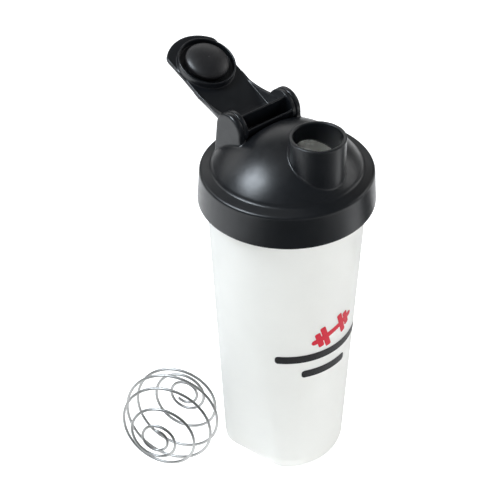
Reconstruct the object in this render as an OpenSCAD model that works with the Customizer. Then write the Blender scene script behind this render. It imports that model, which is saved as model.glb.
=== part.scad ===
// Protein shaker bottle: a tapered translucent cup, a screw lid with a pouring
// spout, a hinged flip cap with a soft plug, and a loose wire whisk ball.
// Millimetres, +Z up. The origin is the middle of the cup's foot, on the table.
// The spout points to -Y and the cap's hinge is on the +Y side, its axis along X.
// The cap is drawn folded back, as it stands when the bottle is open.

/* [Cup] */
// Outer radius of the cup at its foot
cup_foot_r = 33.2; // [32.5:0.1:34]
// Outer radius of the cup just under the lid
cup_top_r = 40.4; // [39.8:0.1:40.6]
// Height of the cup's rim
cup_h = 179; // [178:0.5:180]
// Wall thickness of the cup
cup_wall = 1.8; // [1.5:0.1:2]
// Distance of each finger flat from the cup's axis, at the foot
flat_dist = 28; // [27:0.5:30]
// Height at which the finger flats run out
flat_h = 58; // [50:1:64]
// Turn of the finger flats about the cup's axis, in degrees
flat_turn = 12; // [0:1:20]

/* [Lid] */
// Outer radius of the lid's collar at its lower edge
collar_r = 45; // [44.5:0.1:46]
// Height of the collar's lower edge above the table
collar_z = 164.8; // [164:0.1:165.5]
// Radius at which the dome rises from the collar
dome_foot_r = 38.4; // [38:0.1:38.8]
// Height of the dome above the collar's ledge
dome_h = 19.2; // [18.5:0.1:20]

/* [Spout] */
// Distance of the spout from the lid's axis
spout_y = 21.4; // [20.5:0.1:22]
// Outer radius of the spout
spout_r = 13.95; // [13.5:0.05:14.1]
// Radius of the spout's bore
bore_r = 12; // [11.9:0.05:12.2]
// Height of the spout's rim above the table
spout_z = 210.6; // [210:0.1:211]

/* [Hinge] */
// Distance of the hinge axis from the lid's axis
hinge_y = 20.7; // [20:0.1:21.5]
// Height of the hinge axis above the table
hinge_z = 203; // [202.8:0.1:203.2]
// Angle through which the cap opens, in degrees
open_angle = 156.5; // [140:0.5:158]

/* [Whisk ball] */
// Largest radius of the wire ball, to the outside of the wire
ball_r = 26.8; // [25:0.1:28]
// Length of the ball along its winding axis, as a part of its diameter
ball_squash = 0.86; // [0.8:0.01:1]
// Thickness of the wire
wire_d = 1.6; // [1.2:0.1:2]
// Number of turns of the wire, end to end
ball_turns = 7.6; // [7:0.1:10]

/* [Hidden] */
$fn = 96;
far = 200;

// Cup
foot_round = 4;
foot_recess_r = 24;
foot_recess_h = 2.5;
floor_t = 2.2;
shoulder_z = 166;
neck_r = 40;
cup_slope = (cup_top_r - cup_foot_r) / shoulder_z;
flat_tilt = atan((cup_foot_r + cup_slope * flat_h - flat_dist) / flat_h);

// Screw thread: a right-hand ridge on the neck, and one in the collar below it
pitch = 5;
thread_step = 6;
neck_thread_z = 169.5;
neck_crest_r = 41.3;
collar_bore_r = 42.2;
collar_crest_r = 40.6;
ridge_root_half = 1.2;
ridge_crest_half = 0.5;
ridge_sink = 0.4;
thread_gap_z = 1.9;

// Lid
collar_top_r = 43.8;
collar_edge_z = 181.4;
ledge_r = 42.2;
ledge_z = 182.9;
dome_foot_z = 184;
dome_r = (dome_foot_r * dome_foot_r + dome_h * dome_h) / (2 * dome_h);
dome_centre_z = dome_foot_z + dome_h - dome_r;
dome_wall = 2.2;
seal_t = 1.5;
ceiling_z = cup_h + seal_t;
skirt_out_r = 37.4;
skirt_in_r = 36;
skirt_z = 176;
bore_foot_r = 13.8;
bore_foot_wall = 0.9;
rim_chamfer = 0.5;

// Hinge ears on the lid. They spread towards the dome, more at the back.
ear_in_x = 16.9;
ear_out_x = 20.3;
ear_y = 21.2;
ear_z = 201.3;
ear_r = 9.2;
ear_spread_back = 0.09;
ear_spread_front = 0.05;
pocket_r = 9.3;
pocket_wall = 1.6;
socket_r = 2.55;
socket_x = 19.2;
trunnion_r = 2.5;
trunnion_x = 18.95;

// Flip cap, measured from the hinge axis with the cap closed
plate_z = 7.9;
plate_t = 2.2;
waist_half = 15.5;
head_half = 16;
head_start_y = 40;
head_end_y = 54.6;
tip_r = 20.3;
ring_y = hinge_y + spout_y;
ring_in_r = 14.3;
ring_out_r = 15.2;
ring_h = 3.6;

// Hinge end of the cap: two knuckles, and between them a hollow that is roofed by
// the plate's end and closed by a lip at the far side and a rib at the arm's side.
// Nothing near the axis reaches beyond swing_r, so the cap turns in the pocket.
knuckle_in_x = 14.4;
knuckle_out_x = 16.7;
barrel_y = 0.2;
barrel_z = 1.75;
barrel_r = 9.1;
swing_r = 9;
shell_t = 1.4;
lip = [7.65, -3.4];
lip_t = 0.8;
rib = [0.65, -6.25];
rib_t = 0.95;
root_y = 9;
root_angle = 104;
root = swing_r * [cos(root_angle), sin(root_angle)];
web_z = 7;
cheek_y = 31;
cheek_r = 45;
flare_y = 9;
flare_end_y = 25;
flare_out = knuckle_out_x - waist_half;
flare_r = ((flare_end_y - flare_y) * (flare_end_y - flare_y) + flare_out * flare_out)
    / (2 * flare_out);

// Plug
plug_r = 11.45;
plug_stem_r = 10.6;
plug_wide_z = 4.5;
plug_dome_h = 3.8;

// Whisk ball: where it lies, which way its winding axis points, and how the wire
// climbs from the equator to a nearly flat loop at each pole
ball_x = -58.85;
ball_y = 28.4;
ball_z = 26.52;
ball_axis_turn = 210;
ball_axis_rise = 6;
ball_phase = -109;
ball_power = 0.885;
loop_angle = 76.3;
loop_tuck = 2.5;
climb_share = 0.88;
climb_power = 1.27;
wire_sides = 8;
wire_step = 12;

// Outside of the cup, moved inward by an inset; inset 0 is the outer skin.
module cup_form(inset, low, high) {
    low_r = cup_foot_r + cup_slope * low - inset;
    round = max(foot_round - inset, 1);
    difference() {
        rotate_extrude()
            polygon(concat(
                [[0, low]],
                [for (a = [-90:15:0])
                    [low_r - round + round * cos(a) + cup_slope * round * (1 + sin(a)),
                     low + round + round * sin(a)]],
                [[cup_top_r - inset, shoulder_z], [neck_r - inset, shoulder_z + 0.4],
                 [neck_r - inset, high], [0, high]]));
        for (side = [0, 180])
            rotate([0, 0, flat_turn + side])
                translate([flat_dist - inset, 0, 0])
                    rotate([0, flat_tilt, 0])
                        translate([0, -far / 2, -far / 2])
                            cube(far);
    }
}

// Helical ridge between radii r_in and r_out, with half heights at each.
module ridge(r_in, r_out, half_in, half_out, z, turns) {
    rings = floor(turns * 360 / thread_step);
    points = [for (i = [0:rings]) let (a = i * thread_step, h = z + pitch * a / 360)
        each [for (p = [[r_in, -half_in], [r_out, -half_out], [r_out, half_out], [r_in, half_in]])
            [p[0] * cos(a), p[0] * sin(a), h + p[1]]]];
    sides = [for (i = [0:rings - 1], k = [0:3]) let (n = (k + 1) % 4)
        each [[4 * i + k, 4 * i + n, 4 * i + 4 + k], [4 * i + n, 4 * i + 4 + n, 4 * i + 4 + k]]];
    last = 4 * rings;
    polyhedron(points, concat(sides, [[3, 2, 1, 0], [last, last + 1, last + 2, last + 3]]));
}

module cup() {
    color([0.92, 0.94, 0.93, 0.6])
        union() {
            difference() {
                cup_form(0, 0, cup_h);
                cup_form(cup_wall, foot_recess_h + floor_t, cup_h + 1);
                translate([0, 0, -1])
                    cylinder(r = foot_recess_r, h = foot_recess_h + 1);
            }
            ridge(neck_r - ridge_sink, neck_crest_r, ridge_root_half, ridge_crest_half,
                  neck_thread_z, 1.5);
        }
}

// Cylinder along X, centred on the hinge axis.
module along_hinge(r, half) {
    translate([0, hinge_y, hinge_z])
        rotate([0, 90, 0])
            cylinder(r = r, h = 2 * half, center = true);
}

module lid_collar() {
    rotate_extrude()
        polygon([[collar_bore_r, collar_z], [collar_r - 0.4, collar_z], [collar_r, collar_z + 0.4],
                 [collar_top_r, collar_edge_z], [collar_top_r - 0.5, collar_edge_z + 0.9],
                 [ledge_r, ledge_z], [dome_foot_r, dome_foot_z], [skirt_in_r, dome_foot_z],
                 [skirt_in_r, skirt_z], [skirt_out_r, skirt_z], [skirt_out_r, ceiling_z],
                 [collar_bore_r, ceiling_z]]);
}

module dome(shrink) {
    intersection() {
        translate([0, 0, dome_centre_z])
            sphere(r = dome_r - shrink);
        translate([0, 0, dome_foot_z - 0.5])
            cylinder(r = dome_foot_r, h = dome_r);
    }
}

// Side outline of an ear: y along the lid, z up from the table.
module ear_side() {
    drop = ear_z - dome_foot_z;
    translate([ear_y, ear_z]) {
        circle(ear_r);
        polygon([[-ear_r, 0], [-ear_r - ear_spread_front * drop, -drop],
                 [ear_r + ear_spread_back * drop, -drop], [ear_r, 0]]);
    }
}

module ear() {
    rotate([90, 0, 90])
        translate([0, 0, ear_in_x])
            linear_extrude(ear_out_x - ear_in_x)
                ear_side();
}

module lid_shell() {
    color([0.08, 0.08, 0.09])
        difference() {
            union() {
                lid_collar();
                difference() {
                    union() {
                        dome(0);
                        translate([0, -spout_y, dome_foot_z])
                            cylinder(r = spout_r, h = spout_z - dome_foot_z);
                        ear();
                        mirror([1, 0, 0])
                            ear();
                    }
                    dome(dome_wall);
                    translate([0, 0, dome_foot_z - 1])
                        cylinder(r = skirt_in_r, h = 1.5);
                }
                intersection() {
                    dome(0.2);
                    along_hinge(pocket_r + pocket_wall, ear_out_x);
                }
                ridge(collar_crest_r, collar_bore_r + ridge_sink, ridge_crest_half,
                      ridge_root_half, neck_thread_z - thread_gap_z, 1.25);
            }
            along_hinge(pocket_r, ear_in_x);
            along_hinge(socket_r, socket_x);
            translate([0, -spout_y, skirt_z])
                cylinder(r = bore_r, h = spout_z);
            intersection() {
                dome(bore_foot_wall);
                translate([0, -spout_y, skirt_z])
                    cylinder(r = bore_foot_r, h = spout_z - skirt_z);
            }
            translate([0, -spout_y, spout_z - rim_chamfer])
                cylinder(r1 = bore_r, r2 = bore_r + rim_chamfer + 0.1, h = rim_chamfer + 0.1);
        }
}

module lid_seal() {
    color([0.75, 0.76, 0.76])
        translate([0, 0, cup_h])
            difference() {
                cylinder(r = collar_bore_r - 0.3, h = seal_t);
                translate([0, 0, -1])
                    cylinder(r = skirt_out_r + 0.3, h = seal_t + 2);
            }
}

// Puts a shape drawn about the hinge axis, cap closed, where it stands open.
module on_hinge() {
    translate([0, hinge_y, hinge_z])
        rotate([-open_angle, 0, 0])
            children();
}

// Outline of the cap from above, with the hinge axis along X at y = 0.
module cap_outline() {
    polygon([[-waist_half, 0], [-waist_half, -head_start_y], [-head_half, -head_end_y],
             [head_half, -head_end_y], [waist_half, -head_start_y], [waist_half, 0]]);
    intersection() {
        translate([0, -ring_y])
            circle(tip_r);
        translate([-head_half, -ring_y - tip_r])
            square([2 * head_half, tip_r]);
    }
    translate([-knuckle_out_x, -flare_y])
        square([2 * knuckle_out_x, flare_y]);
    for (side = [-1, 1])
        scale([side, 1])
            difference() {
                translate([waist_half - 1, -flare_end_y])
                    square([flare_out + 1, flare_end_y - flare_y]);
                translate([waist_half + flare_r, -flare_end_y])
                    circle(flare_r, $fn = 360);
            }
}

// Side outlines of the hinge end: y along the cap, z across it.
module knuckle_side() {
    intersection() {
        translate([barrel_y, barrel_z])
            circle(barrel_r);
        circle(swing_r);
    }
}

module cheek_side() {
    difference() {
        polygon([[0, 0], [-cheek_y, 0], [-cheek_y, plate_z + plate_t],
                 [-root_y, plate_z + plate_t], root]);
        translate([-cheek_y, plate_z - cheek_r])
            circle(cheek_r, $fn = 240);
    }
}

module barrel_side() {
    across = (lip - rib) / norm(lip - rib);
    difference() {
        union() {
            intersection() {
                knuckle_side();
                translate([rib[0] - rib_t, -far / 2])
                    square([lip[0] - rib[0] + rib_t, far]);
            }
            polygon([[rib[0], web_z], [rib[0] - rib_t, web_z], [-root_y, plate_z],
                     [-root_y, plate_z + plate_t], root]);
        }
        intersection() {
            union() {
                intersection() {
                    translate([barrel_y, barrel_z])
                        circle(barrel_r - shell_t);
                    circle(swing_r - shell_t);
                }
                translate([-far / 2, -far])
                    square(far);
            }
            translate([rib[0], -far])
                square([lip[0] - lip_t - rib[0], 2 * far]);
        }
        polygon([rib - far * across, lip + far * across, [far, -far], [-far, -far]]);
    }
}

module across_hinge(from, to) {
    rotate([90, 0, 90])
        translate([0, 0, from])
            linear_extrude(to - from)
                children();
}

module flip_cap() {
    color([0.08, 0.08, 0.09])
        on_hinge() {
            translate([0, 0, plate_z])
                linear_extrude(plate_t)
                    difference() {
                        cap_outline();
                        translate([-far / 2, -root_y])
                            square(far);
                    }
            across_hinge(-knuckle_in_x, knuckle_in_x)
                barrel_side();
            for (side = [0, 1])
                mirror([side, 0, 0]) {
                    across_hinge(knuckle_in_x - 0.1, knuckle_out_x)
                        knuckle_side();
                    across_hinge(knuckle_in_x - 0.1, trunnion_x)
                        circle(trunnion_r);
                    intersection() {
                        across_hinge(knuckle_in_x - 0.1, knuckle_out_x)
                            cheek_side();
                        linear_extrude(plate_z + plate_t)
                            cap_outline();
                    }
                }
            translate([0, -ring_y, plate_z - ring_h])
                difference() {
                    cylinder(r = ring_out_r, h = ring_h + 0.5);
                    translate([0, 0, -1])
                        cylinder(r = ring_in_r, h = ring_h + 1);
                }
        }
}

module cap_plug() {
    color([0.16, 0.16, 0.17])
        on_hinge()
            translate([0, -ring_y, 0])
                rotate_extrude()
                    polygon(concat(
                        [[0, plate_z], [plug_stem_r, plate_z], [plug_stem_r, plug_wide_z + 0.9],
                         [plug_r, plug_wide_z + 0.4]],
                        [for (a = [0:10:90])
                            [plug_r * cos(a), plug_wide_z - plug_dome_h * sin(a)]]));
}

// Angle of the wire above the ball's equator, at t from 0 there to 1 at the wire's end.
function climb(t) =
    let (s = t / climb_share)
    loop_angle * sin(90 * pow(min(s, 1), climb_power))
    + loop_tuck * max(s - 1, 0) / (1 / climb_share - 1);

// Middle of the wire, at t from -1 at one end to 1 at the other.
function ball_point(t) =
    let (a = climb(abs(t)), turn = ball_phase + 180 * ball_turns * t,
         r = (ball_r - wire_d / 2) * pow(cos(a), ball_power),
         h = (ball_r - wire_d / 2) * ball_squash * pow(sin(a), ball_power))
    [r * cos(turn), r * sin(turn), sign(t) * h];

module whisk_ball() {
    rings = floor(ball_turns * 360 / wire_step);
    path = [for (i = [0:rings]) ball_point(2 * i / rings - 1)];
    along = [for (i = [0:rings])
        let (d = path[min(i + 1, rings)] - path[max(i - 1, 0)]) d / norm(d)];
    points = [for (i = [0:rings])
        let (u = path[i] / norm(path[i]), v = cross(along[i], u) / norm(cross(along[i], u)),
             w = cross(v, along[i]))
        each [for (k = [0:wire_sides - 1]) let (b = 360 * k / wire_sides)
            path[i] + wire_d / 2 * (cos(b) * w + sin(b) * v)]];
    sides = [for (i = [0:rings - 1], k = [0:wire_sides - 1])
        let (n = (k + 1) % wire_sides, a = wire_sides * i, b = a + wire_sides)
        each [[a + k, a + n, b + k], [a + n, b + n, b + k]]];
    last = wire_sides * rings;
    caps = [[for (k = [wire_sides - 1:-1:0]) k], [for (k = [0:wire_sides - 1]) last + k]];
    color([0.75, 0.76, 0.78])
        translate([ball_x, ball_y, ball_z])
            rotate([0, 90 - ball_axis_rise, ball_axis_turn])
                polyhedron(points, concat(sides, caps));
}

cup();
lid_shell();
lid_seal();
flip_cap();
cap_plug();
whisk_ball();
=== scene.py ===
"""The looks of a protein shaker bottle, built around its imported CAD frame.

Shapes are worked out in millimetres in the frame's own axes and stored in metres:
+Z is up, the spout is on the -Y side and the cap's hinge is on the +Y side.
The lid and the cap are solids of rounded distance fields, turned into meshes;
the cup, the plug and the seal are lathed; the ball is a swept wire.
"""

import math

import bpy
import numpy as np
from mathutils import Matrix, Vector


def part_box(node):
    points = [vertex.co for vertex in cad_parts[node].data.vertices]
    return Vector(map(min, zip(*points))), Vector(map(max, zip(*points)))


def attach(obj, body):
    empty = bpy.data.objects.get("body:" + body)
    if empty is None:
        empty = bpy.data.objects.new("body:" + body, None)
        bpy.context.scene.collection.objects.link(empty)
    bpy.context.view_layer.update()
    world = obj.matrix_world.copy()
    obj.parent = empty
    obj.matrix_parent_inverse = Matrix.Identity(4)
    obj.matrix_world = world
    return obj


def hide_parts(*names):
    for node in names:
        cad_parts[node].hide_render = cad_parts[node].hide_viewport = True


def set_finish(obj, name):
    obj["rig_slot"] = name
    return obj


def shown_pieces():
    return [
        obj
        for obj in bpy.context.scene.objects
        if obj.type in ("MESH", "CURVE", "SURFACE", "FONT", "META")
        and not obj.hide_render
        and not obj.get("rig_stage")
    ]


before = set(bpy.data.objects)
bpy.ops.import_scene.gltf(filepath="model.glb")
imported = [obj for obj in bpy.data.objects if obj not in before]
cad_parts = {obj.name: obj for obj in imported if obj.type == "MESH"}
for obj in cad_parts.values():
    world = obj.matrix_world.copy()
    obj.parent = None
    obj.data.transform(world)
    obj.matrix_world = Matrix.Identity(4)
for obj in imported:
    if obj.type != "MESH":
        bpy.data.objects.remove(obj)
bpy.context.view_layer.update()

MM = 0.001

DETAIL = 1.0
LID_STEP = 0.55 * DETAIL
CAP_STEP = 0.45 * DETAIL
PRINT_STEP = 0.32 * DETAIL


def cad(node):
    """The lowest and highest corner of a CAD node, in millimetres."""
    low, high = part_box(node)
    return np.array(low) / MM, np.array(high) / MM


# ---------------------------------------------------------------- sizes, in mm

LID_LOW, LID_HIGH = cad("lid_shell")

# Cup
CUP_H = cad("cup")[1][2]
CUP_FOOT_R = 33.2
CUP_TOP_R = 40.4
CUP_WALL = 1.8
SHOULDER_Z = 166
CUP_SLOPE = (CUP_TOP_R - CUP_FOOT_R) / SHOULDER_Z
NECK_R = 40
FOOT_ROUND = 4
FOOT_RECESS_R = 24
FOOT_RECESS_H = 2.5
FLOOR_T = 2.2
FLOOR_ROUND = 3.0
FLAT_DIST = 28
FLAT_H = 58
FLAT_TURN = math.radians(12)
FLAT_BLEND = 2.5
FLAT_SLOPE = (CUP_FOOT_R + CUP_SLOPE * FLAT_H - FLAT_DIST) / FLAT_H

# Screw thread
PITCH = 5
NECK_THREAD_Z = 169.5
NECK_THREAD_TURNS = 1.5
NECK_CREST_R = 41.3
NECK_THREAD_HALF = 1.2
NECK_THREAD_FLANK = 0.7
NECK_THREAD_FADE_DEG = 12
COLLAR_THREAD_Z = 167.6
COLLAR_THREAD_TURNS = 1.25
COLLAR_CREST_R = 40.6
COLLAR_CREST_HALF = 0.5
COLLAR_ROOT_HALF = 1.2

# Lid
COLLAR_R = LID_HIGH[0]
COLLAR_Z = LID_LOW[2]
COLLAR_TOP_R = 43.8
COLLAR_EDGE_Z = 181.4
COLLAR_BORE_R = 42.2
LEDGE_Z = 182.9
DOME_FOOT_R = 38.4
DOME_FOOT_Z = 184
DOME_H = 19.2
DOME_R = (DOME_FOOT_R**2 + DOME_H**2) / (2 * DOME_H)
DOME_CENTRE_Z = DOME_FOOT_Z + DOME_H - DOME_R
DOME_WALL = 2.2
CEILING_Z = 180.5
SKIRT_OUT_R = 37.4
SKIRT_IN_R = 36
SKIRT_Z = 176

# Spout
SPOUT_Y = -21.4
SPOUT_R = 13.95
BORE_R = 12
BORE_FOOT_R = 13.8
BORE_FOOT_WALL = 0.9
SPOUT_Z = 210.6

# Hinge
HINGE_Y = 20.7
HINGE_Z = 203
OPEN_ANGLE = math.radians(156.5)
EAR_IN_X = 16.9
EAR_TOP_X = 20.1
EAR_FOOT_X = 20.6
EAR_Y = 21.2
EAR_Z = 201.3
EAR_R = 9.2
EAR_DRAFT_H = 20
EAR_BACK_SPREAD = 0.09
EAR_FRONT_SPREAD = 0.05
POCKET_R = 9.3
POCKET_WALL = 1.6
SOCKET_R = 2.55
SOCKET_X = 19.2

# Flip cap, measured from the hinge axis with the cap closed
BARREL_Y = 0.2
BARREL_Z = 1.75
BARREL_R = 9.1
SWING_R = 9
KNUCKLE_IN_X = 14.4
KNUCKLE_OUT_X = 16.7
SHELL_T = 1.4
LIP = (7.65, -3.4)
LIP_T = 0.8
RIB = (0.65, -6.25)
RIB_T = 0.95
PLATE_Z = 7.9
PLATE_T = 2.2
ROOT_Y = 9
ROOT_ANGLE = math.radians(104)
ROOT = (SWING_R * math.cos(ROOT_ANGLE), SWING_R * math.sin(ROOT_ANGLE))
WEB_Z = 7
CHEEK_Y = 31
CHEEK_R = 45
BACK_TAPER = 0.7
TAPER_Z = 6.5
TAPER_FROM_Y = -27
TAPER_RUN = 15
WAIST_HALF = 15.5
HEAD_HALF = 16
HEAD_START_Y = 40
HEAD_END_Y = 54.6
FLARE_Y = 9
FLARE_END_Y = 25
FLARE_POWER = 1.3
TIP_R = 20.3
RING_Y = -(HINGE_Y - SPOUT_Y)
RING_IN_R = 14.3
RING_OUT_R = 15.2
RING_H = 3.6
TRUNNION_R = 2.5
TRUNNION_X = 18.95

# Plug
PLUG_R = 11.45
PLUG_STEM_R = 10.6
PLUG_WIDE_Z = 4.5
PLUG_DOME_H = 3.8


# ------------------------------------------------- rounded solids as distances
# A solid is a function that is negative inside, about the distance in mm. The last
# number given to join, common and cut is a radius of rounding in mm.


def join(a, b, round_mm=0.0):
    """Union of two solids, with a fillet of this radius where they meet."""
    if round_mm == 0:
        return np.minimum(a, b)
    near = np.hypot(np.maximum(round_mm - a, 0), np.maximum(round_mm - b, 0))
    return np.maximum(round_mm, np.minimum(a, b)) - near


def common(a, b, round_mm=0.0):
    """What two solids share, its edge rounded to this radius."""
    return -join(-a, -b, round_mm)


def cut(a, b, round_mm=0.0):
    """The first solid without the second, the new edge rounded to this radius."""
    return -join(-a, b, round_mm)


def slab(value, low, high):
    """What lies between two values of a coordinate."""
    return np.maximum(low - value, value - high)


def half_plane(u, v, start, end):
    """The side to the left of the line from start to end, in the (u, v) plane."""
    du, dv = end[0] - start[0], end[1] - start[1]
    size = math.hypot(du, dv)
    return ((u - start[0]) * dv - (v - start[1]) * du) / size


def capsule(u, v, start, end, radius):
    """A rounded bar between two points of the (u, v) plane."""
    du, dv = end[0] - start[0], end[1] - start[1]
    share = ((u - start[0]) * du + (v - start[1]) * dv) / (du * du + dv * dv)
    share = np.clip(share, 0, 1)
    return np.hypot(u - start[0] - share * du, v - start[1] - share * dv) - radius


def solid_mesh(solid, low, high, step):
    """Vertices in mm and quads of a solid's skin, by surface nets on a grid."""
    axes = [np.arange(a, b + step, step) for a, b in zip(low, high)]
    size = [len(a) for a in axes]
    grid = np.empty(size, np.float32)
    xs, ys = np.meshgrid(axes[0], axes[1], indexing="ij")
    for k, z in enumerate(axes[2]):
        grid[:, :, k] = solid(xs, ys, np.full_like(xs, z))
    inside = grid < 0
    cells = [n - 1 for n in size]
    crossings = np.zeros(cells, np.float32)
    place = np.zeros(cells + [3], np.float32)
    steps = np.eye(3, dtype=int)
    corners = [(i, j, k) for i in (0, 1) for j in (0, 1) for k in (0, 1)]

    def at(field, corner):
        return field[tuple(slice(c, c + n) for c, n in zip(corner, cells))]

    for a in corners:
        for axis in range(3):
            if a[axis]:
                continue
            b = tuple(np.array(a) + steps[axis])
            va, vb = at(grid, a), at(grid, b)
            crossed = at(inside, a) != at(inside, b)
            share = np.where(crossed, va / np.where(crossed, va - vb, 1), 0)
            crossings += crossed
            for other in range(3):
                offset = share if other == axis else a[other]
                place[..., other] += np.where(crossed, offset, 0)
    used = crossings > 0
    index = np.cumsum(used.ravel()).reshape(cells) - 1
    origin = np.stack(np.nonzero(used), 1)
    points = place[used] / crossings[used][:, None] + origin
    points = np.array(low) + points * step
    quads = []
    for axis in range(3):
        u, v = (axis + 1) % 3, (axis + 2) % 3
        first = [slice(1, n - 1) for n in size]
        first[axis] = slice(0, size[axis] - 1)
        second = list(first)
        second[axis] = slice(1, size[axis])
        a, b = inside[tuple(first)], inside[tuple(second)]
        i = np.stack(np.nonzero(a != b), 1) + [f.start for f in first]
        leaving = a[a != b]
        back = [index[tuple((i - s * steps[u] - t * steps[v]).T)]
                for s, t in ((1, 1), (0, 1), (0, 0), (1, 0))]
        faces = np.stack(back, 1)
        faces[~leaving] = faces[~leaving][:, ::-1]
        quads.append(faces)
    return settle(solid, points), np.concatenate(quads)


def settle(solid, points, rounds=4):
    """Points moved along the field's slope until they lie on the solid's skin."""
    points = points.astype(float)
    reach = 0.02
    for _ in range(rounds):
        value = solid(*points.T)
        slope = np.stack([
            solid(*(points + reach * d).T) - solid(*(points - reach * d).T)
            for d in np.eye(3)], 1) / (2 * reach)
        size = np.maximum((slope**2).sum(1), 0.2)
        move = slope * (value / size)[:, None]
        points -= np.clip(move, -0.4, 0.4)
    return points


# --------------------------------------------------------------- meshes, pieces


def new_piece(name, points, faces, body, slot, replaces=None):
    """A smooth mesh piece from points in mm, riding on a body."""
    mesh = bpy.data.meshes.new(name)
    faces = np.asarray(faces)
    mesh.vertices.add(len(points))
    metres = (np.asarray(points) * MM).astype(np.float32)
    mesh.vertices.foreach_set("co", metres.ravel())
    mesh.loops.add(faces.size)
    mesh.loops.foreach_set("vertex_index", faces.astype(np.int32).ravel())
    mesh.polygons.add(len(faces))
    starts = np.arange(len(faces), dtype=np.int32) * faces.shape[1]
    mesh.polygons.foreach_set("loop_start", starts)
    mesh.update(calc_edges=True)
    mesh.validate()
    mesh.polygons.foreach_set("use_smooth", np.ones(len(mesh.polygons), bool))
    piece = bpy.data.objects.new(name, mesh)
    bpy.context.scene.collection.objects.link(piece)
    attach(piece, body)
    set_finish(piece, slot)
    if replaces:
        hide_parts(replaces)
    return piece


def rounded_outline(points, radii, step_deg=12):
    """A closed outline with each corner turned into an arc of its own radius."""
    made = []
    count = len(points)
    for i in range(count):
        here = np.array(points[i], float)
        before = np.array(points[i - 1], float) - here
        after = np.array(points[(i + 1) % count], float) - here
        before, room_a = before / np.linalg.norm(before), np.linalg.norm(before)
        after, room_b = after / np.linalg.norm(after), np.linalg.norm(after)
        angle = math.acos(np.clip(before @ after, -1, 1))
        radius = radii[i]
        back = radius / math.tan(angle / 2) if radius else 0
        room = 0.499 * min(room_a, room_b)
        if radius == 0 or back > room:
            back = min(back, room)
            radius = back * math.tan(angle / 2)
        if radius < 1e-3:
            made.append(here)
            continue
        middle = (before + after) / np.linalg.norm(before + after)
        centre = here + middle * radius / math.sin(angle / 2)
        start, end = here + before * back - centre, here + after * back - centre
        sweep = math.atan2(start[0] * end[1] - start[1] * end[0], start @ end)
        parts = max(2, int(abs(math.degrees(sweep)) / step_deg) + 1)
        for k in range(parts + 1):
            turn = sweep * k / parts
            c, s = math.cos(turn), math.sin(turn)
            made.append(centre + [c * start[0] - s * start[1],
                                  s * start[0] + c * start[1]])
    return np.array(made)


def lathe(outline, around=192):
    """Points and quads of a closed (r, z) outline turned about Z."""
    turn = np.arange(around) * 2 * math.pi / around
    rows = len(outline)
    r, z = outline[:, 0][:, None], outline[:, 1][:, None]
    points = np.stack([r * np.cos(turn), r * np.sin(turn), z + 0 * turn], -1)
    return points.reshape(-1, 3), ring_faces(rows, around, closed=True)


def ring_faces(rows, around, closed=False):
    """Quads between neighbouring rows of points, each row closed on itself."""
    last = rows if closed else rows - 1
    i, k = np.meshgrid(np.arange(last), np.arange(around), indexing="ij")
    j, n = (i + 1) % rows, (k + 1) % around
    quads = [i * around + k, i * around + n, j * around + n, j * around + k]
    return np.stack(quads, -1).reshape(-1, 4)


def arc(start, stop, step):
    """Cosine and sine of every step of degrees from start, short of stop."""
    for degrees in range(start, stop, step):
        turn = math.radians(degrees)
        yield math.cos(turn), math.sin(turn)


# --------------------------------------------------------------------- the lid


def helix(r, x, y, z, start_z, turns, in_r, out_r, in_half, out_half):
    """A right-hand ridge between two radii, cut off square at both ends."""
    angle = np.degrees(np.arctan2(y, x)) % 360
    best = np.full_like(r, 9.0)
    for lap in range(math.ceil(turns) + 1):
        along = angle + 360 * lap
        past = np.maximum(-along, along - 360 * turns) * math.pi * NECK_R / 180
        rise = np.abs(z - start_z - PITCH * along / 360)
        share = np.clip((r - in_r) / (out_r - in_r), 0, 1)
        side = rise - (in_half + (out_half - in_half) * share)
        band = np.maximum(side, slab(r, min(in_r, out_r), max(in_r, out_r)))
        best = np.minimum(best, np.maximum(band, past))
    return best


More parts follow.
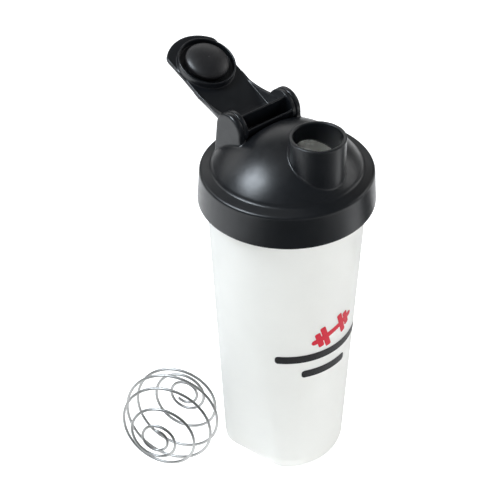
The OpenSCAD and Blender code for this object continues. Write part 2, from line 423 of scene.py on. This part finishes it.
def lid_solid(x, y, z):
    """The whole screw lid: collar, ledge, dome, spout and hinge ears."""
    r = np.hypot(x, y)
    drafted = half_plane(r, z, (COLLAR_R, COLLAR_Z), (COLLAR_TOP_R, COLLAR_EDGE_Z))
    ledge = half_plane(r, z, (COLLAR_TOP_R - 0.5, LEDGE_Z - 0.5),
                       (DOME_FOOT_R, DOME_FOOT_Z))
    body = common(drafted, ledge, 1.0)
    body = common(body, COLLAR_Z - z, 0.5)
    ball = np.sqrt(r * r + (z - DOME_CENTRE_Z) ** 2)
    dome = common(ball - DOME_R, r - DOME_FOOT_R, 1.5)
    dome = np.maximum(dome, DOME_FOOT_Z - 3 - z)
    body = join(body, dome, 0.8)
    spout_r = np.hypot(x, y - SPOUT_Y)
    spout = common(spout_r - SPOUT_R, z - SPOUT_Z, 0.55)
    body = join(body, np.maximum(spout, DOME_FOOT_Z - z), 0.5)
    body = join(body, ears_solid(x, y, z), 0.9)
    hollow = common(ball - (DOME_R - DOME_WALL), r - SKIRT_IN_R, 2)
    hollow = join(np.maximum(hollow, DOME_FOOT_Z - 1 - z),
                  np.maximum(r - SKIRT_IN_R, z - DOME_FOOT_Z))
    channel = common(r - COLLAR_BORE_R, z - CEILING_Z, 0.4)
    skirt = np.maximum(slab(r, SKIRT_IN_R, SKIRT_OUT_R), SKIRT_Z - z)
    hollow = join(hollow, cut(channel, skirt, 0.3))
    tray = hinge_disc(y, z) - (POCKET_R + POCKET_WALL)
    tray = np.maximum(np.maximum(tray, np.abs(x) - EAR_TOP_X), ball - DOME_R + 0.3)
    body = join(cut(body, hollow, 0.25), tray, 0.4)
    ridge = helix(r, x, y, z, COLLAR_THREAD_Z, COLLAR_THREAD_TURNS,
                  COLLAR_CREST_R, COLLAR_BORE_R + 0.4,
                  COLLAR_CREST_HALF, COLLAR_ROOT_HALF)
    body = join(body, ridge)
    pocket = common(hinge_disc(y, z) - POCKET_R, np.abs(x) - EAR_IN_X, 0.3)
    body = cut(body, pocket, 0.35)
    socket = np.maximum(hinge_disc(y, z) - SOCKET_R, np.abs(x) - SOCKET_X)
    body = cut(body, socket, 0.1)
    bore = np.maximum(spout_r - BORE_R, SKIRT_Z - z)
    foot = np.maximum(spout_r - BORE_FOOT_R, ball - DOME_R + BORE_FOOT_WALL)
    foot = np.maximum(foot, SKIRT_Z - z)
    return cut(cut(body, foot), bore, 0.5)


def hinge_disc(y, z):
    """Distance from the hinge axis."""
    return np.hypot(y - HINGE_Y, z - HINGE_Z)


def ears_solid(x, y, z):
    """Both hinge ears: flat inside, drafted and well rounded outside."""
    share = np.clip((EAR_Z + EAR_R - z) / EAR_DRAFT_H, -0.2, 1.2)
    outer = EAR_TOP_X + (EAR_FOOT_X - EAR_TOP_X) * share
    drop = np.maximum(EAR_Z - z, 0)
    below = np.maximum(y - EAR_Y - EAR_R - EAR_BACK_SPREAD * drop,
                       EAR_Y - EAR_R - EAR_FRONT_SPREAD * drop - y)
    side = np.where(z > EAR_Z, np.hypot(y - EAR_Y, z - EAR_Z) - EAR_R, below)
    ear = common(np.abs(x) - outer, side, 1.3)
    ear = common(ear, EAR_IN_X - np.abs(x), 0.3)
    return np.maximum(ear, DOME_FOOT_Z - z)


def make_lid():
    points, quads = solid_mesh(lid_solid, LID_LOW - 1.3, LID_HIGH + 1.3, LID_STEP)
    return new_piece("lid", points, quads, "lid", "black_plastic", "lid_shell")


# --------------------------------------------------------------- cap and plug


def on_hinge(points):
    """Points drawn about the hinge axis, cap closed, put where the cap stands open."""
    c, s = math.cos(-OPEN_ANGLE), math.sin(-OPEN_ANGLE)
    x, y, z = np.asarray(points).T
    return np.stack([x, c * y - s * z + HINGE_Y, s * y + c * z + HINGE_Z], 1)


def cap_outline(x, y):
    """Outline of the cap from above: a waisted tongue with a wide, round end."""
    widen = np.clip((-y - HEAD_START_Y) / (HEAD_END_Y - HEAD_START_Y), 0, 1)
    flare = np.clip((y + FLARE_END_Y) / (FLARE_END_Y - FLARE_Y), 0, 1)
    half = WAIST_HALF + (HEAD_HALF - WAIST_HALF) * widen
    half = half + (KNUCKLE_OUT_X - WAIST_HALF) * flare**FLARE_POWER
    tip = np.where(y < RING_Y, np.hypot(x, y - RING_Y), np.abs(x)) - TIP_R
    return common(np.abs(x) - half, tip, 1.2)


def barrel_round(y, z):
    """Side view of the barrel's skin, kept within the circle it swings in."""
    skin = np.hypot(y - BARREL_Y, z - BARREL_Z) - BARREL_R
    return np.maximum(skin, np.hypot(y, z) - SWING_R)


def cap_barrel(y, z):
    """Side view between the knuckles: a lip, a rib and a roof round a hollow."""
    full = barrel_round(y, z)
    block = np.maximum(full, slab(y, RIB[0] - RIB_T, LIP[0]))
    web = np.maximum(half_plane(y, z, (-ROOT_Y, PLATE_Z), (RIB[0] - RIB_T, WEB_Z)),
                     half_plane(y, z, ROOT, (-ROOT_Y, PLATE_Z + PLATE_T)))
    web = np.maximum(web, slab(y, -ROOT_Y - 1, RIB[0]))
    web = np.maximum(web, z - PLATE_Z - PLATE_T)
    body = cut(join(block, web, 0.8), half_plane(y, z, LIP, RIB), 0.2)
    roofed = np.where(z > 0, full + SHELL_T, full + 0.5)
    hollow = np.maximum(roofed, slab(y, RIB[0], LIP[0] - LIP_T))
    return cut(body, hollow, 0.2)


def cap_solid(x, y, z):
    """The flip cap, closed, about the hinge axis: its arm reaches to -Y."""
    share = np.clip((y - TAPER_FROM_Y) / TAPER_RUN, 0, 1)
    outline = cap_outline(x, y) + BACK_TAPER * np.maximum(z - TAPER_Z, 0) * share
    plate = np.maximum(outline, y + ROOT_Y)
    plate = common(plate, slab(z, PLATE_Z, PLATE_Z + PLATE_T), 0.6)
    ring_r = np.hypot(x, y - RING_Y)
    ring = slab(ring_r, RING_IN_R, RING_OUT_R)
    ring = common(ring, slab(z, PLATE_Z - RING_H, PLATE_Z + 0.5), 0.35)
    body = join(plate, ring, 0.4)
    between = np.maximum(np.abs(x) - KNUCKLE_IN_X - 0.4, outline)
    barrel = common(cap_barrel(y, z), between, 0.1)
    cheek = np.maximum(CHEEK_R - np.hypot(y + CHEEK_Y, z - PLATE_Z + CHEEK_R),
                       half_plane(y, z, ROOT, (-ROOT_Y, PLATE_Z + PLATE_T)))
    cheek = np.maximum(np.maximum(cheek, slab(y, -CHEEK_Y, 0)), z - PLATE_Z - PLATE_T)
    cheek = np.maximum(cheek, -z)
    cheek = common(cheek, np.maximum(outline, KNUCKLE_IN_X - np.abs(x)), 0.5)
    knuckle = common(barrel_round(y, z),
                     slab(np.abs(x), KNUCKLE_IN_X, KNUCKLE_OUT_X), 0.35)
    sides = join(cheek, knuckle, 0.6)
    body = join(join(body, barrel, 0.3), sides, 0.6)
    pin = common(np.hypot(y, z) - TRUNNION_R,
                 slab(np.abs(x), KNUCKLE_IN_X, TRUNNION_X), 0.3)
    return join(body, pin)


def make_cap():
    room = 1.2
    low = (-TRUNNION_X - room, RING_Y - TIP_R - room, -SWING_R - room)
    high = (TRUNNION_X + room, SWING_R + room, PLATE_Z + PLATE_T + room)
    points, quads = solid_mesh(cap_solid, low, high, CAP_STEP)
    return new_piece("cap", on_hinge(points), quads, "cap", "black_plastic", "flip_cap")


def make_plug():
    rows = [(0, PLATE_Z), (PLUG_STEM_R, PLATE_Z), (PLUG_STEM_R, PLUG_WIDE_Z + 0.9),
            (PLUG_R, PLUG_WIDE_Z + 0.3)]
    radii = [0, 0, 0.3, 0.2]
    for c, s in arc(0, 90, 3):
        rows.append((PLUG_R * c, PLUG_WIDE_Z - PLUG_DOME_H * s))
        radii.append(0)
    rows.append((0, PLUG_WIDE_Z - PLUG_DOME_H))
    radii.append(0)
    outline = rounded_outline(rows, radii)
    outline[:, 0] = np.maximum(outline[:, 0], 0.002)
    points, quads = lathe(outline, 128)
    points[:, 1] += RING_Y
    return new_piece("plug", on_hinge(points), quads[:, ::-1], "cap", "soft_plug",
                     "cap_plug")


# ------------------------------------------------------------------------- cup


def cup_radius(turn, z, inset):
    """Radius of the cup's skin, moved inward by an inset: a cone with two flats."""
    cone = CUP_FOOT_R + CUP_SLOPE * z - inset
    made = cone + 0 * turn
    for side in (0, math.pi):
        facing = np.cos(turn - FLAT_TURN - side)
        reach = (FLAT_DIST + FLAT_SLOPE * z - inset) / np.maximum(facing, 0.2)
        made = common_radius(made, reach, FLAT_BLEND)
    return made


def common_radius(a, b, soft):
    """The lesser of two radii, blended where they cross."""
    share = np.clip(0.5 + 0.5 * (b - a) / soft, 0, 1)
    return b * (1 - share) + a * share - soft * share * (1 - share)


def make_cup():
    around = 256
    turn = np.arange(around) * 2 * math.pi / around
    rows = []

    def row(radius, z):
        rows.append(np.stack([radius * np.cos(turn), radius * np.sin(turn),
                              z + 0 * turn], -1))

    def skin(z, inset):
        return cup_radius(turn, z, inset)

    # Outside, from the middle of the recess under the foot up to the rim.
    for r in (0.01, 6, 12, 18, 22.5):
        row(r, FOOT_RECESS_H)
    for c, s in arc(0, 91, 18):
        row(FOOT_RECESS_R - 1 + s, FOOT_RECESS_H - 1 + c)
    for c, s in arc(0, 91, 22):
        row(FOOT_RECESS_R + 0.6 - 0.6 * c, 0.6 - 0.6 * s)
    for c, s in arc(-90, 1, 7):
        z = FOOT_ROUND * (1 + s)
        row(skin(z, 0) - FOOT_ROUND * (1 - c), z)
    for z in np.arange(6, SHOULDER_Z - 0.5, 1.6):
        row(skin(z, 0), z)
    row(skin(SHOULDER_Z - 0.3, 0), SHOULDER_Z - 0.3)
    row(skin(SHOULDER_Z, 0) - 0.1, SHOULDER_Z + 0.05)
    for z in np.arange(SHOULDER_Z + 0.4, CUP_H - 0.5, 0.3):
        row(NECK_R + thread_height(turn, z), z)
    for c, s in arc(0, 181, 22):
        row(NECK_R - CUP_WALL / 2 + CUP_WALL / 2 * c,
            CUP_H - CUP_WALL / 2 + CUP_WALL / 2 * s)
    # Inside, from the rim down to the middle of the floor.
    for z in np.arange(CUP_H - 2, SHOULDER_Z, -2.5):
        row(NECK_R - CUP_WALL, z)
    floor_z = FOOT_RECESS_H + FLOOR_T
    for z in np.arange(SHOULDER_Z - 1, floor_z + FLOOR_ROUND, -2.5):
        row(skin(z, CUP_WALL), z)
    for c, s in arc(0, 91, 15):
        z = floor_z + FLOOR_ROUND * (1 - s)
        row(skin(z, CUP_WALL) - FLOOR_ROUND * (1 - c), z)
    for r in (24, 16, 8, 0.01):
        row(r, floor_z)
    points = np.concatenate(rows)
    quads = ring_faces(len(rows), around)
    return new_piece("cup_body", points, quads, "cup", "frosted_plastic", "cup")


def thread_height(turn, z):
    """How far the neck's screw ridge stands out at a turn and height."""
    degrees = np.degrees(turn)
    made = np.zeros_like(turn)
    for lap in (0, 1):
        along = degrees + 360 * lap
        off = np.abs(z - NECK_THREAD_Z - PITCH * along / 360)
        inward = np.minimum(along, 360 * NECK_THREAD_TURNS - along)
        ends = np.clip(inward / NECK_THREAD_FADE_DEG, 0, 1)
        ridge = np.clip((NECK_THREAD_HALF - off) / NECK_THREAD_FLANK, 0, 1)
        made = np.maximum(made, (NECK_CREST_R - NECK_R) * ridge * ends)
    return made


def make_seal():
    low, high = cad("lid_seal")
    outer, inner = high[0], SKIRT_OUT_R + 0.3
    corners = [(inner, low[2]), (outer, low[2]), (outer, high[2]), (inner, high[2])]
    points, quads = lathe(rounded_outline(corners, [0.3] * 4), 160)
    return new_piece("seal", points, quads, "seal", "seal_rubber", "lid_seal")


# ------------------------------------------------------------------ whisk ball

BALL_R = 26.8
BALL_SQUASH = 0.86
WIRE_D = 1.6
BALL_TURNS = 7.6
BALL_AT = (-58.85, 28.4, 26.52)
BALL_AXIS_TURN = math.radians(210)
BALL_AXIS_RISE = math.radians(6)
BALL_PHASE = math.radians(-109)
BALL_POWER = 0.885
LOOP_ANGLE = math.radians(76.3)
LOOP_TUCK = math.radians(2.5)
CLIMB_SHARE = 0.88
CLIMB_POWER = 1.27


def wire_path(count):
    """Middle of the ball's wire, wound from one polar loop to the other."""
    t = np.linspace(-1, 1, count)
    s = np.abs(t) / CLIMB_SHARE
    angle = LOOP_ANGLE * np.sin(math.pi / 2 * np.minimum(s, 1) ** CLIMB_POWER)
    angle += LOOP_TUCK * np.maximum(s - 1, 0) / (1 / CLIMB_SHARE - 1)
    turn = BALL_PHASE + math.pi * BALL_TURNS * t
    reach = BALL_R - WIRE_D / 2
    r = reach * np.cos(angle) ** BALL_POWER
    h = np.sign(t) * reach * BALL_SQUASH * np.sin(angle) ** BALL_POWER
    path = np.stack([r * np.cos(turn), r * np.sin(turn), h], 1)
    tip = Matrix.Rotation(BALL_AXIS_TURN, 3, "Z") @ Matrix.Rotation(
        math.pi / 2 - BALL_AXIS_RISE, 3, "Y")
    return path @ np.array(tip).T


def make_ball():
    count, sides = 900, 14
    path = wire_path(count)
    along = np.gradient(path, axis=0)
    along /= np.linalg.norm(along, axis=1)[:, None]
    out = path / np.linalg.norm(path, axis=1)[:, None]
    across = np.cross(along, out)
    across /= np.linalg.norm(across, axis=1)[:, None]
    out = np.cross(across, along)
    turn = np.arange(sides) * 2 * math.pi / sides
    ring = (np.cos(turn)[None, :, None] * out[:, None] + np.sin(turn)[None, :, None]
            * across[:, None])
    rows = []
    for end, way in ((0, -1), (count - 1, 1)):
        caps = []
        for a in (0.05, 30, 60):
            b = math.radians(a)
            move = way * along[end] * WIRE_D / 2 * math.cos(b)
            caps.append(path[end] + move + ring[end] * WIRE_D / 2 * math.sin(b))
        rows.append(caps if end == 0 else caps[::-1])
    tube = list(path[:, None] + ring * WIRE_D / 2)
    rings = rows[0] + tube + rows[1]
    points = np.concatenate(rings) + np.array(BALL_AT)
    quads = ring_faces(len(rings), sides)
    return new_piece("whisk", points, quads[:, ::-1], "ball", "steel_wire",
                     "whisk_ball")


# --------------------------------------------------------------------- print
# A generic mark: a red dumbbell over two plain dark bars, with no letters.

INK_T = 0.12
MARK_TURN = math.radians(-90)
LINE_TURN = math.radians(-96)
EMBLEM_Z = 99.5
EMBLEM_TILT = math.radians(18)
GRIP_HALF = 12.4
GRIP_R = 1.7
WEIGHTS = ((5.6, 7.4), (9.4, 5.2))
WEIGHT_HALF_T = 1.65
LINE_Z = (85.8, 74.6)
LINE_HALF = (28.5, 14)
LINE_HALF_H = 2.5


def printed(name, design, half_width, half_height, turn, mid_z, slot):
    """A thin skin of ink in the shape of a flat design, wrapped onto the cup."""
    swell = 8.0  # the ink is meshed this many times thicker, then thinned

    def solid(u, v, w):
        return common(design(u, v), slab(w, 0, INK_T * swell), 0.1)

    low = (-half_width - 1, -half_height - 1, -1)
    high = (half_width + 1, half_height + 1, INK_T * swell + 1)
    points, quads = solid_mesh(solid, low, high, PRINT_STEP)
    u, v, w = points.T
    z = mid_z + v
    radius = CUP_FOOT_R + CUP_SLOPE * z
    angle = turn + u / (CUP_FOOT_R + CUP_SLOPE * mid_z)
    radius = radius + 0.02 + w / swell
    wrapped = np.stack([radius * np.cos(angle), radius * np.sin(angle), z], 1)
    return new_piece(name, wrapped, quads, "cup", slot)


def dumbbell(u, v):
    """A dumbbell seen from the side, tilted up to the right."""
    c, s = math.cos(EMBLEM_TILT), math.sin(EMBLEM_TILT)
    a, b = np.abs(c * u + s * v), np.abs(c * v - s * u)
    made = capsule(a, b, (0, 0), (GRIP_HALF, 0), GRIP_R)
    for middle, half in WEIGHTS:
        plate = common(np.abs(a - middle) - WEIGHT_HALF_T, b - half, 0.9)
        made = np.minimum(made, plate)
    return made


def bar(half_width):
    """The design of a plain bar with rounded ends."""
    return lambda u, v: common(np.abs(u) - half_width, np.abs(v) - LINE_HALF_H, 1.8)


def make_print():
    printed("print_emblem", dumbbell, 15, 12, MARK_TURN, EMBLEM_Z, "print_red")
    printed("print_line_1", bar(LINE_HALF[0]), 29, 3, LINE_TURN, LINE_Z[0],
            "print_dark")
    printed("print_line_2", bar(LINE_HALF[1]), 15, 3, LINE_TURN, LINE_Z[1],
            "print_dark")


# ----------------------------------------------------------------- materials

NOISE_LOW, NOISE_HIGH = 0.3, 0.7  # nearly all of a noise lies between these


def material(name, colour, roughness, **sockets):
    """A material with one Principled shader, its plain values on its own sockets."""
    made = bpy.data.materials.new(name)
    made.use_nodes = True
    shader = made.node_tree.nodes["Principled BSDF"]
    shader.inputs["Base Color"].default_value = (*colour, 1)
    shader.inputs["Roughness"].default_value = roughness
    for key, value in sockets.items():
        shader.inputs[key.replace("_", " ")].default_value = value
    return made


def noise(made, scale_mm, detail=2.0, seed_mm=0.0):
    """Noise in the object's own metres, with bumps about this far apart."""
    nodes, links = made.node_tree.nodes, made.node_tree.links
    where = nodes.new("ShaderNodeTexCoord")
    shift = nodes.new("ShaderNodeMapping")
    shift.inputs["Location"].default_value = (seed_mm * MM,) * 3
    grain = nodes.new("ShaderNodeTexNoise")
    grain.inputs["Scale"].default_value = 1 / (scale_mm * MM)
    grain.inputs["Detail"].default_value = detail
    links.new(where.outputs["Object"], shift.inputs["Vector"])
    links.new(shift.outputs["Vector"], grain.inputs["Vector"])
    return grain.outputs["Fac"]


def vary(made, fac, low, high, socket):
    """Drives a socket of the shader between two values by a factor."""
    nodes, links = made.node_tree.nodes, made.node_tree.links
    span = nodes.new("ShaderNodeMapRange")
    span.inputs["From Min"].default_value = NOISE_LOW
    span.inputs["From Max"].default_value = NOISE_HIGH
    span.inputs["To Min"].default_value = low
    span.inputs["To Max"].default_value = high
    links.new(fac, span.inputs["Value"])
    links.new(span.outputs["Result"], nodes["Principled BSDF"].inputs[socket])


def tint(made, fac, dark, light):
    """Varies the base colour between two colours by a factor."""
    nodes, links = made.node_tree.nodes, made.node_tree.links
    ramp = nodes.new("ShaderNodeValToRGB")
    ramp.color_ramp.elements[0].position = NOISE_LOW
    ramp.color_ramp.elements[0].color = (*dark, 1)
    ramp.color_ramp.elements[1].position = NOISE_HIGH
    ramp.color_ramp.elements[1].color = (*light, 1)
    links.new(fac, ramp.inputs["Fac"])
    links.new(ramp.outputs["Color"], nodes["Principled BSDF"].inputs["Base Color"])


def bump(made, fac, height_mm):
    """Raises the surface by a factor, this far in millimetres at most."""
    nodes, links = made.node_tree.nodes, made.node_tree.links
    raised = nodes.new("ShaderNodeBump")
    raised.inputs["Strength"].default_value = 1
    raised.inputs["Distance"].default_value = height_mm * MM
    links.new(fac, raised.inputs["Height"])
    links.new(raised.outputs["Normal"], nodes["Principled BSDF"].inputs["Normal"])


def black_plastic():
    made = material("black plastic", (0.005, 0.006, 0.0075), 0.33,
                    Specular_IOR_Level=0.44)
    tint(made, noise(made, 9, 3), (0.0045, 0.0055, 0.0068), (0.0055, 0.0065, 0.0082))
    vary(made, noise(made, 4, 4, 31), 0.3, 0.36, "Roughness")
    bump(made, noise(made, 0.45, 2, 7), 0.012)
    return made


def frosted_plastic():
    made = material("frosted plastic", (0.865, 0.87, 0.845), 0.42,
                    Transmission_Weight=0.52, IOR=1.49)
    tint(made, noise(made, 14, 3), (0.855, 0.86, 0.835), (0.875, 0.88, 0.855))
    vary(made, noise(made, 6, 4, 11), 0.38, 0.46, "Roughness")
    bump(made, noise(made, 0.6, 2, 3), 0.008)
    return made


def soft_plug():
    made = material("soft plug", (0.008, 0.008, 0.009), 0.4)
    tint(made, noise(made, 5, 3), (0.007, 0.007, 0.008), (0.009, 0.009, 0.01))
    vary(made, noise(made, 3, 3, 5), 0.38, 0.46, "Roughness")
    bump(made, noise(made, 0.5, 2, 2), 0.01)
    return made


def seal_rubber():
    made = material("seal rubber", (0.6, 0.61, 0.61), 0.6)
    tint(made, noise(made, 4, 3), (0.57, 0.58, 0.58), (0.63, 0.64, 0.64))
    vary(made, noise(made, 2, 3, 5), 0.55, 0.68, "Roughness")
    bump(made, noise(made, 0.4, 2, 2), 0.01)
    return made


def steel_wire():
    made = material("steel wire", (0.43, 0.43, 0.425), 0.38, Metallic=1.0)
    tint(made, noise(made, 6, 3), (0.4, 0.4, 0.395), (0.46, 0.46, 0.455))
    vary(made, noise(made, 2, 3, 5), 0.34, 0.42, "Roughness")
    bump(made, noise(made, 0.3, 2, 2), 0.004)
    return made


def ink(name, dark, light):
    made = material(name, dark, 0.5, Specular_IOR_Level=0.2)
    tint(made, noise(made, 1.2, 3), dark, light)
    vary(made, noise(made, 0.8, 3, 5), 0.4, 0.55, "Roughness")
    return made


# -------------------------------------------------------------- studio, camera

FLOOR_HALF = 1.6
FLOOR_GLOW = 0.7

# Each card's left, right, front and rear edge in metres, before the turn.
FLAG_TURN = math.radians(-40.6)
FLAG_Z = 0.003
FLAGS = (
    ("flag_front", -0.24, 0.34, -1.0, -0.07),
    ("flag_right", 0.18, 0.7, 0.05, 0.18),
)


def make_floor():
    size = FLOOR_HALF
    corners = [(-size, -size), (size, -size), (size, size), (-size, size)]
    white = material("floor", (0.9, 0.9, 0.9), 0.8, Specular_IOR_Level=0.1,
                     Emission_Color=(1, 1, 1, 1), Emission_Strength=FLOOR_GLOW)
    flat_sheet("floor", corners, 0, white)


def make_flags():
    """Black cards on the table, seen only in the bottle's reflections."""
    c, s = math.cos(FLAG_TURN), math.sin(FLAG_TURN)
    for name, left, right, front, rear in FLAGS:
        corners = [(left, front), (right, front), (right, rear), (left, rear)]
        corners = [(c * x - s * y, s * x + c * y) for x, y in corners]
        card = flat_sheet(name, corners, FLAG_Z, material(name, (0, 0, 0), 1))
        card.visible_camera = card.visible_diffuse = card.visible_shadow = False
        card.visible_transmission = False


def flat_sheet(name, corners, z, look):
    """A level sheet of the set, which isn't part of the product."""
    mesh = bpy.data.meshes.new(name)
    mesh.from_pydata([(x, y, z) for x, y in corners], [], [(0, 1, 2, 3)])
    sheet = bpy.data.objects.new(name, mesh)
    bpy.context.scene.collection.objects.link(sheet)
    sheet.data.materials.append(look)
    sheet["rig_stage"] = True
    return sheet


def aim(thing, target):
    """Turns a light so that it faces a point."""
    way = np.array(target) - np.array(thing.location)
    thing.rotation_mode = "QUATERNION"
    thing.rotation_quaternion = Vector(way).to_track_quat("-Z", "Y")


def softbox(name, at, target, width, height, watts, colour=(1, 1, 1), mirrored=True,
            lights=True):
    """A soft lamp, in metres, which may show in reflections, light things, or both."""
    lamp = bpy.data.lights.new(name, "AREA")
    lamp.shape = "RECTANGLE"
    lamp.size, lamp.size_y, lamp.energy = width, height, watts
    lamp.color = colour
    made = bpy.data.objects.new(name, lamp)
    made.location = at
    made.visible_glossy = mirrored
    made.visible_diffuse = made.visible_transmission = lights
    bpy.context.scene.collection.objects.link(made)
    aim(made, target)


def make_studio():
    world = bpy.data.worlds.new("studio")
    bpy.context.scene.world = world
    world.use_nodes = True
    back = world.node_tree.nodes["Background"]
    back.inputs["Color"].default_value = (1, 1, 1, 1)
    back.inputs["Strength"].default_value = 0.1
    softbox("glint", (-0.58, 0.29, 0.96), (0, 0, 0.17), 0.42, 0.42, 12, (0.84, 0.92, 1),
            lights=False)
    softbox("key", (-0.58, 0.33, 0.96), (0, 0, 0.17), 0.32, 0.32, 9, (0.86, 0.93, 1),
            mirrored=False)
    softbox("back", (0.62, 0.75, 0.78), (0, 0, 0.2), 1.1, 0.5, 2.2)
    softbox("over", (-0.1, 0.25, 1.3), (0, 0, 0.17), 0.8, 0.8, 0.7)
    softbox("rim_left", (-0.28, 0.95, 0.72), (0, 0, 0.2), 0.6, 0.5, 1.4, lights=False)
    softbox("rim_right", (0.95, -0.3, 0.62), (0, 0, 0.2), 0.7, 0.5, 2.1, lights=False)
    softbox("left", (-0.9, -0.3, 0.4), (0, 0, 0.1), 0.8, 0.8, 1, mirrored=False)
    softbox("right", (0.55, -0.9, 0.4), (0, 0, 0.1), 0.8, 0.8, 5.5, mirrored=False)
    softbox("front", (-0.55, -0.75, 0.5), (0, 0, 0.1), 0.8, 0.8, 4.6, mirrored=False)
    view = bpy.context.scene.view_settings
    view.view_transform = "Standard"
    view.look = "None"


# The photo's camera, found by fitting the rims, edges and silhouette seen in it.
LENS_MM = 100
SENSOR_MM = 36
CAMERA_AT = (-0.38505, -0.42015, 0.57327)
CAMERA_RIGHT = (0.75655, -0.65392, -0.00471)
CAMERA_UP = (0.40452, 0.46233, 0.78906)
CAMERA_BACK = (-0.51381, -0.59887, 0.61430)


def make_camera():
    lens = bpy.data.cameras.new("camera")
    lens.lens, lens.sensor_width = LENS_MM, SENSOR_MM
    lens.clip_start, lens.clip_end = 0.01, 20
    camera = bpy.data.objects.new("camera", lens)
    bpy.context.scene.collection.objects.link(camera)
    turn = Matrix((CAMERA_RIGHT, CAMERA_UP, CAMERA_BACK)).transposed().to_4x4()
    turn.translation = CAMERA_AT
    camera.matrix_world = turn
    bpy.context.scene.camera = camera


# ------------------------------------------------------------------- the scene

make_camera()
make_studio()
make_floor()
make_flags()

looks = {
    "black_plastic": black_plastic(),
    "frosted_plastic": frosted_plastic(),
    "soft_plug": soft_plug(),
    "seal_rubber": seal_rubber(),
    "steel_wire": steel_wire(),
    "print_red": ink("print red", (0.4, 0.008, 0.022), (0.46, 0.012, 0.03)),
    "print_dark": ink("print dark", (0.012, 0.012, 0.013), (0.018, 0.018, 0.02)),
}

make_cup()
make_seal()
make_lid()
make_cap()
make_plug()
make_ball()
make_print()

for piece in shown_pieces():
    piece.data.materials.clear()
    piece.data.materials.append(looks[piece["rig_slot"]])
